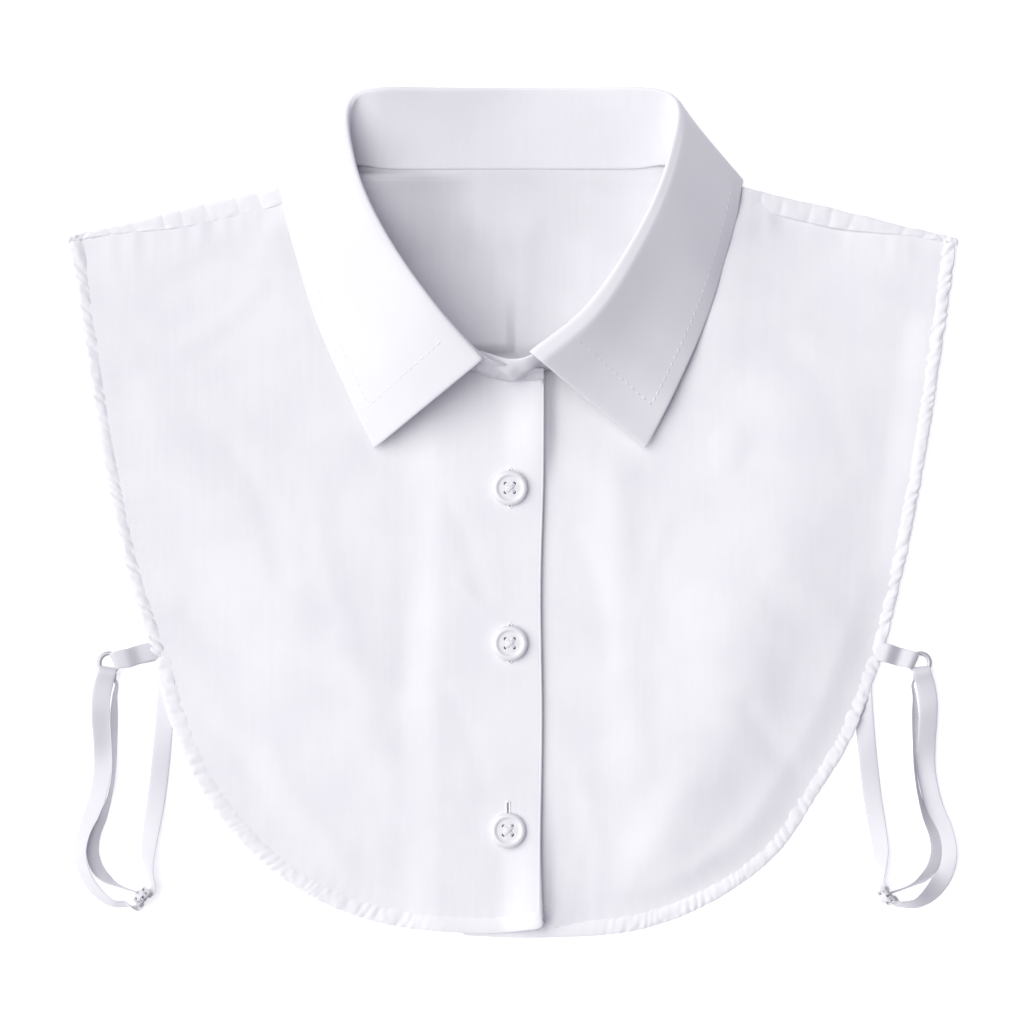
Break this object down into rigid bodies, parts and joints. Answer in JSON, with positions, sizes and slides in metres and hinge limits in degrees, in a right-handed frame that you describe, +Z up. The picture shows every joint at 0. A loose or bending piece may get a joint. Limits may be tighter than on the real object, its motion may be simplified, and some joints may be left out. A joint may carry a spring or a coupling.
{
  "type": "detachable shirt collar",
  "caption": "White detachable shirt collar: a half shirt with turn-down collar, buttoned front, back panel and elastic side straps.",
  "frame": {"origin": "middle of the whole outline in plan, at the flat surface that the garment lies on", "axes": "+X towards the wearer's left, +Y from the bottom hem towards the collar, +Z up from the flat surface, out of the fronts"},
  "size_m": [0.3203, 0.307, 0.0276],
  "materials": {
    "poplin": "smooth white cotton poplin, matte",
    "collar_poplin": "white cotton poplin over interlining, pressed",
    "resin": "white resin, polished",
    "elastic": "white woven elastic with a satin face",
    "coated_metal": "white coating on metal wire and plate, satin"
  },
  "bodies": {
    "root": {"back_panel": "poplin", "left_front": "poplin", "right_front": "poplin", "collar_stand": "collar_poplin", "collar_fall": "collar_poplin", "button_1": "resin", "button_2": "resin", "button_3": "resin", "tab_right": "elastic", "tab_left": "elastic", "elastic_right": "elastic", "elastic_left": "elastic", "ring_right": "coated_metal", "ring_left": "coated_metal", "slider_right": "coated_metal", "slider_left": "coated_metal"}
  },
  "joints": []
}
